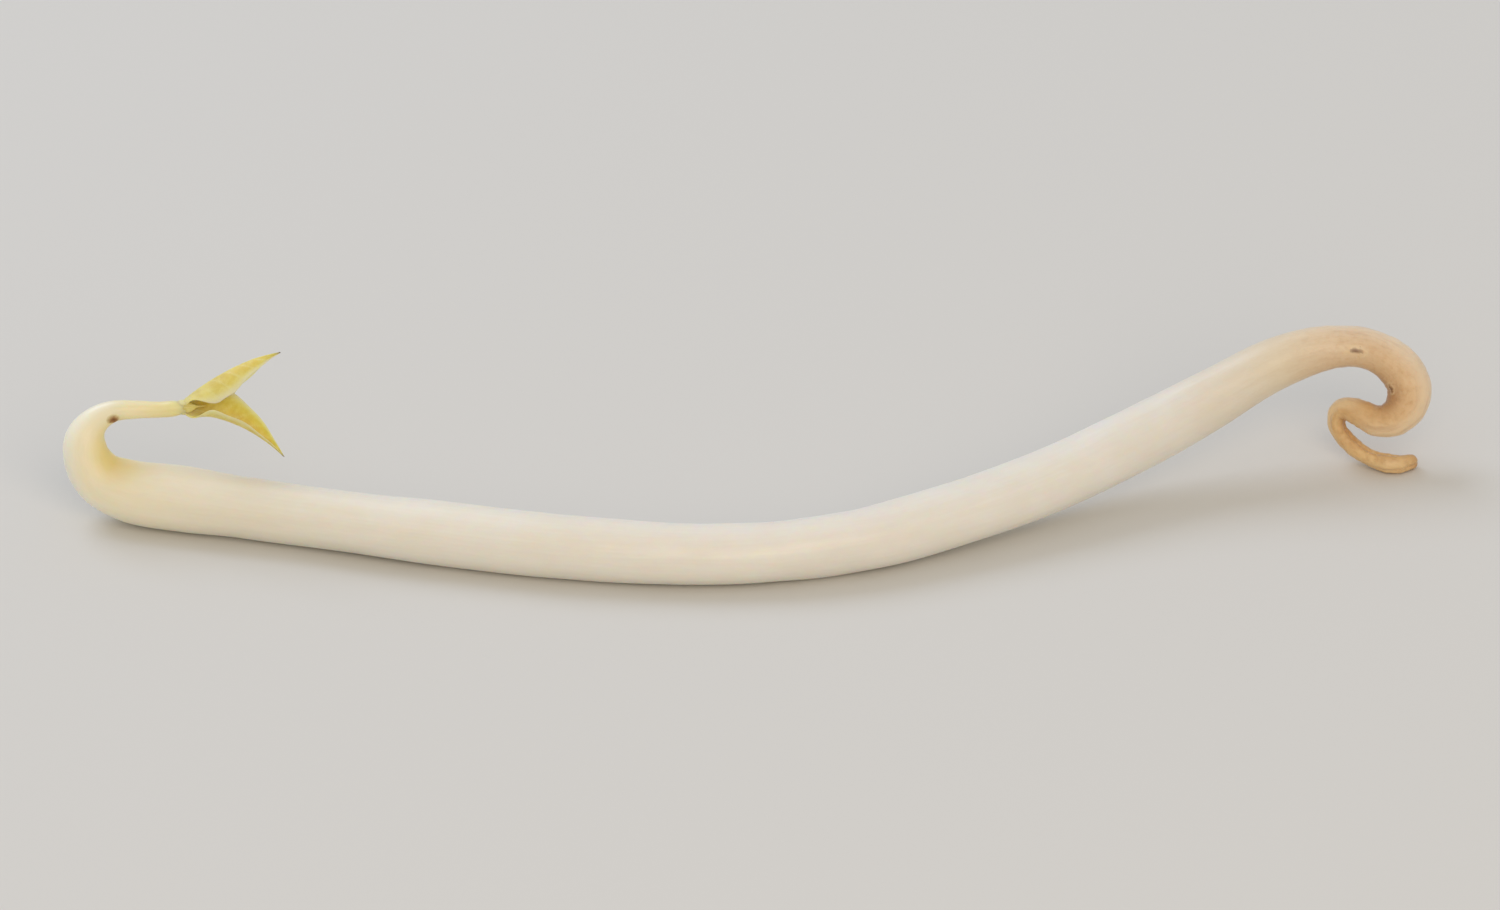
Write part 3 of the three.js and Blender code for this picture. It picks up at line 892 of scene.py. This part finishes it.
# The pointed bud between the leaves, two folded leaflets pressed together, and the
# two small scales that stand beside it
bud = {
    "length": 1.3,
    "diameter": 0.26,
    "footShare": 0.8,  # of the diameter
    "lobes": 0.16,  # how deep the seam between its leaflets is
    "sink": 0.25,
    "sides": 40,
    "rings": 32,
    "sinkRings": 4,
    "scaleOffset": 0.34,
    "scaleSink": 0.7,
    "scaleSplay": 0.08,  # its root is nearer the axis by this
    "scaleLean": 0.05,  # towards the bud
    "scaleBend": 0.12,
    "scale": {**leafPair, "length": 0.95, "halfWidth": 0.24, "foldDepth": 0.09, "thickness": 0.07,
              "footWidth": 0.40, "footThickness": 0.12, "rings": 28, "spans": 10, "edgeWave": 0.0,
              "creaseDepth": 0.0, "veinPairs": 3, "veinHeight": 0.0},
    "tones": [(0.25, 0xcfb955), (0.5, 0xdfcd72), (0.75, 0xebdf9c)],
}


def budMesh():
    along = end["along"]
    side = across(leafPair["leaves"][0][4], along)
    up = along.cross(side)
    loops = []
    foot, sinkRings = bud["footShare"], bud["sinkRings"]
    for ring in range(-sinkRings, bud["rings"]):
        place = max(0, ring / bud["rings"])
        reach = place * bud["length"] if ring >= 0 else ring / sinkRings * bud["sink"]
        radius = bud["diameter"] / 2 * math.sqrt(1 - place) * (foot + 4 * (1 - foot) * place * (1 - place))
        loop = []
        for index in range(bud["sides"]):
            angle = 2 * math.pi * index / bud["sides"]
            lobed = radius * (1 - bud["lobes"] * (1 - abs(math.sin(angle))) ** 2)
            off = side * lobed * math.cos(angle) + up * lobed * math.sin(angle)
            loop.append(budFoot + along * reach + off)
        loops.append(loop)
    parts = [skinOver(loops, budFoot - along * bud["sink"], budFoot + along * bud["length"])]
    for outward in (-up, up):
        foot = budFoot + outward * bud["scaleOffset"]
        root = foot - along * bud["scaleSink"] - outward * bud["scaleSplay"]
        heading = along - outward * bud["scaleLean"]
        parts.append(bladeMesh(
            bud["scale"], root, foot, heading, outward * bud["scaleBend"], -outward, 0))
    mesh = bpy.data.meshes.new("bud")
    joined = bmesh.new()
    for part in parts:
        joined.from_mesh(part)
        bpy.data.meshes.remove(part)
    joined.to_mesh(mesh)
    joined.free()
    mesh.shade_smooth()
    return mesh


# Bud scales: soft, yellow-green, covered with fine pale down that dulls the gloss
def budMaterial():
    material, tree = newMaterial("downyBud")
    where = addNode(tree, "ShaderNodeTexCoord").outputs["Object"]
    down = cloudyMask(tree, where, (0.5, 0.07, 0.07), 0.0, 1.0)
    colour = addNode(tree, "ShaderNodeValToRGB", {"Fac": down}, stops=bud["tones"])
    bump = addNode(tree, "ShaderNodeBump", {"Height": down, "Strength": 0.5, "Distance": 0.03 * mm})
    tissue = addNode(tree, "ShaderNodeBsdfPrincipled", {
        "Base Color": colour, "Roughness": 0.6, "Normal": bump, "Subsurface Weight": 0.4,
        "Subsurface Radius": (1.0, 0.85, 0.3), "Subsurface Scale": 0.3 * mm,
        "Sheen Weight": 0.35, "Sheen Roughness": 0.5})
    addNode(tree, "ShaderNodeOutputMaterial", {"Surface": tissue})
    return material


newPiece("bud", budMesh(), budMaterial(), "bud_tissue", "terminal_bud")

# Corky ovals that the two seed leaves left behind when they fell
scar = {
    "length": 1.15,
    "width": 0.85,
    "height": 0.13,
    "plain": 0.7,  # share of the height without the rim
    "rimRise": 0.6,  # share that the rim adds
    "rimPlace": 0.45,  # where the raised rim runs
    "rimWidth": 0.3,
    "pitDepth": 0.06,
    "pitWidth": 0.28,
    "middle": 0.75,  # share of the height in the middle of the pit
    "sink": 0.05,
    "raggedness": 0.12,  # of the outline
    "raggedScale": 1.7,
    "roughDepth": 0.04,
    "roughScale": 3.1,
    "sides": 48,
    "rings": 22,
    "tones": [(0.0, 0x7a4f2a), (0.2, 0x94673c), (0.38, 0xb58c59), (0.55, 0xcdb47e), (0.72, 0xe0d2a0),
              (0.88, 0xeee2b4)],
    "crumbs": 0x8d6236,
}


def scarMesh(node):
    ring = ringAt(nodeStation)
    low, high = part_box(node)
    outward = across((Vector(low) + Vector(high)) / 2 / mm - ring["centre"], ring["along"])
    sideways = ring["along"].cross(outward)
    loops, places = [], []
    for level in range(scar["rings"], 0, -1):
        spread = level / scar["rings"]
        rim = math.exp(-((spread - scar["rimPlace"]) / scar["rimWidth"]) ** 2)
        crown = scar["height"] * (1 - spread ** 2) ** 2 * (scar["plain"] + scar["rimRise"] * rim)
        crown -= scar["pitDepth"] * math.exp(-(spread / scar["pitWidth"]) ** 2) + scar["sink"] * spread ** 8
        loop = []
        for index in range(scar["sides"]):
            angle = 2 * math.pi * index / scar["sides"]
            facing = Vector((math.cos(angle), math.sin(angle), outward.y))
            ragged = spread * (1 + scar["raggedness"] * noise.noise(facing * scar["raggedScale"]))
            forward = ragged * scar["length"] / 2 * math.sin(angle)
            around = ragged * scar["width"] / 2 * math.cos(angle) / ring["radius"]
            grit = noise.noise(Vector((forward, around, outward.y)) * scar["roughScale"])
            grit *= scar["roughDepth"] * 2 * (1 - spread)
            spoke = outward * math.cos(around) + sideways * math.sin(around)
            place = ring["centre"] + ring["along"] * forward + spoke * ring["radius"]
            onSkin, normal = skinSurface.find_nearest(place * mm)[:2]
            loop.append(onSkin / mm + normal * (crown + grit))
            places.append(spread)
        loops.append(loop)
    onSkin, normal = skinSurface.find_nearest((ring["centre"] + outward * ring["radius"]) * mm)[:2]
    deep = onSkin / mm - normal * scar["sink"] * 3
    top = onSkin / mm + normal * (scar["height"] * scar["middle"] - scar["pitDepth"])
    mesh = skinOver(loops, deep, top)
    addValues(mesh, place=places + [1, 0])
    return mesh


# Corky scar: dry, dull brown in the middle, fading into the skin around it
def corkMaterial():
    material, tree = newMaterial("scarCork")
    place = addNode(tree, "ShaderNodeAttribute", attribute_name="place").outputs["Fac"]
    where = addNode(tree, "ShaderNodeTexCoord").outputs["Object"]
    crumbs = cloudyMask(tree, where, (0.14, 0.14, 0.14))
    ground = addNode(tree, "ShaderNodeValToRGB", {"Fac": place}, stops=scar["tones"])
    dry = addNode(tree, "ShaderNodeMapRange", {"Value": place, "From Min": 0.75, "From Max": 0.35})
    colour = painted(tree, ground, [(linear(scar["crumbs"]), crumbs, dry)])
    rough = addNode(tree, "ShaderNodeMapRange", {"Value": place, "To Min": 0.8, "To Max": 0.44})
    height = addNode(tree, "ShaderNodeMath", {0: crumbs, 1: dry}, operation="MULTIPLY")
    bump = addNode(tree, "ShaderNodeBump", {"Height": height, "Strength": 0.6, "Distance": 0.04 * mm})
    cork = addNode(tree, "ShaderNodeBsdfPrincipled", {
        "Base Color": colour, "Roughness": rough, "Normal": bump})
    addNode(tree, "ShaderNodeOutputMaterial", {"Surface": cork})
    return material


scarCork = corkMaterial()
for name, node in (("scarFront", "cotyledon_scar_front"), ("scarBack", "cotyledon_scar_back")):
    newPiece(name, scarMesh(node), scarCork, "scar_cork", node)
print("bud and scars made")
